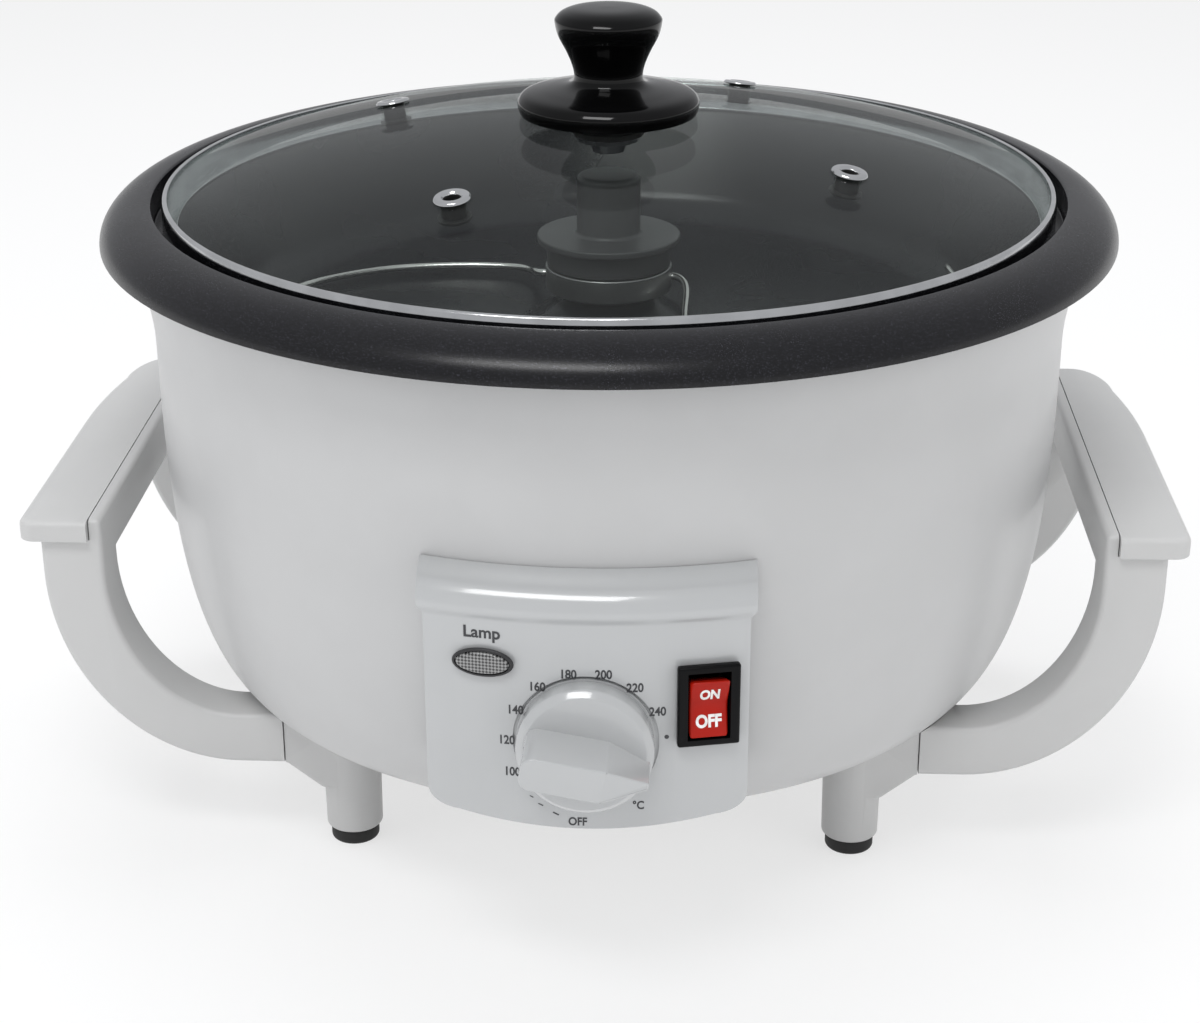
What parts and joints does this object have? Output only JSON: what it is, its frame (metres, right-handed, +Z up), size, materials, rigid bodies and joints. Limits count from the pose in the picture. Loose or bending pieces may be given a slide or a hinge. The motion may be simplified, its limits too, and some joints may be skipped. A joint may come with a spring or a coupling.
{
  "type": "home coffee bean roaster",
  "caption": "Countertop coffee bean roaster: wide roasting pan with a loose glass lid, wire stirrer, bowl-shaped housing, loop side handles, and a front box with dial, lamp and rocker switch.",
  "frame": {"origin": "centre of the object's bounding box at the floor, 9.4 mm in front of the pan's axis", "axes": "+X to the object's left-hand handle as seen from behind (viewer's right from the front), -Y to the front with the dial, +Z up"},
  "size_m": [0.306, 0.2922, 0.2203],
  "materials": {
    "housing_paint": "soft warm grey-white paint, fine satin",
    "handle_plastic": "smooth warm grey-white moulding",
    "panel_gloss": "glossy cool white moulding",
    "pan_nonstick": "black non-stick coat with fine metallic speckle",
    "lid_glass": "clear tempered glass",
    "bright_steel": "polished stainless steel",
    "knob_bakelite": "glossy black phenolic",
    "rubber_black": "matte black rubber",
    "hub_grey": "dark grey heat-proof moulding",
    "collar_steel": "dull turned steel",
    "switch_black": "black satin plastic",
    "rocker_red": "glossy red",
    "lamp_rim_grey": "dark grey rim",
    "lamp_clear": "clear patterned lens over a grey reflector",
    "sheet_steel": "zinc-plated sheet",
    "heater_steel": "heat-darkened steel",
    "brass": "plain turned brass",
    "terminal_ceramic": "cream glazed ceramic"
  },
  "bodies": {
    "base": {"inner_pot": "pan_nonstick", "shaft_bush": "brass", "outer_housing": "housing_paint", "base_plate": "sheet_steel", "base_screw_1": "sheet_steel", "base_screw_2": "sheet_steel", "base_screw_3": "sheet_steel", "base_screw_4": "sheet_steel", "handle_right": "handle_plastic", "handle_left": "handle_plastic", "handle_cap_right": "handle_plastic", "handle_cap_left": "handle_plastic", "leg_front_right": "handle_plastic", "leg_back_right": "handle_plastic", "leg_back_left": "handle_plastic", "leg_front_left": "handle_plastic", "foot_front_right": "rubber_black", "foot_back_right": "rubber_black", "foot_back_left": "rubber_black", "foot_front_left": "rubber_black", "control_box": "panel_gloss", "rocker_bezel": "switch_black", "switch_body": "switch_black", "lamp_bezel": "lamp_rim_grey", "lamp_lens": "lamp_clear", "lamp_body": "lamp_clear", "thermostat_body": "sheet_steel", "thermostat_nut": "brass", "heating_element": "heater_steel", "heater_post_1": "sheet_steel", "heater_post_2": "sheet_steel", "heater_post_3": "sheet_steel", "heat_shield": "sheet_steel", "heat_sensor": "brass", "sensor_clip": "sheet_steel", "thermal_fuse": "sheet_steel", "motor_bracket": "sheet_steel", "gearbox": "sheet_steel", "motor_can": "heater_steel", "terminal_block": "terminal_ceramic", "cord_gland": "rubber_black"},
    "lid": {"lid_glass": "lid_glass", "lid_rim_band": "bright_steel", "lid_knob": "knob_bakelite", "lid_knob_screw": "bright_steel", "lid_knob_seal": "rubber_black", "lid_knob_washer": "bright_steel", "lid_vent_1": "bright_steel", "lid_vent_2": "bright_steel", "lid_vent_3": "bright_steel", "lid_vent_4": "bright_steel"},
    "stirrer": {"stirrer_hub": "hub_grey", "stirrer_collar": "collar_steel", "stirrer_arm_right": "bright_steel", "stirrer_arm_left": "bright_steel", "drive_shaft": "sheet_steel"},
    "dial": {"thermostat_knob": "panel_gloss", "thermostat_shaft": "sheet_steel"},
    "rocker": {"switch_rocker": "rocker_red"}
  },
  "joints": [
    {"name": "lid_lift", "type": "slide", "parent": "base", "child": "lid", "axis": [0, 0, 1], "range_m": [0, 0.1]},
    {"name": "stirrer_spin", "type": "hinge", "parent": "base", "child": "stirrer", "pos_m": [0, 0.0094, 0.13], "axis": [0, 0, 1], "continuous": true},
    {"name": "dial_turn", "type": "hinge", "parent": "base", "child": "dial", "pos_m": [0, -0.1249, 0.0733], "axis": [0, 1, 0], "range_deg": [-93.5, 165.5]},
    {"name": "rocker_tilt", "type": "hinge", "parent": "base", "child": "rocker", "pos_m": [0.02839, -0.12054, 0.083], "axis": [-0.977, -0.2134, 0], "range_deg": [0, 14]}
  ]
}
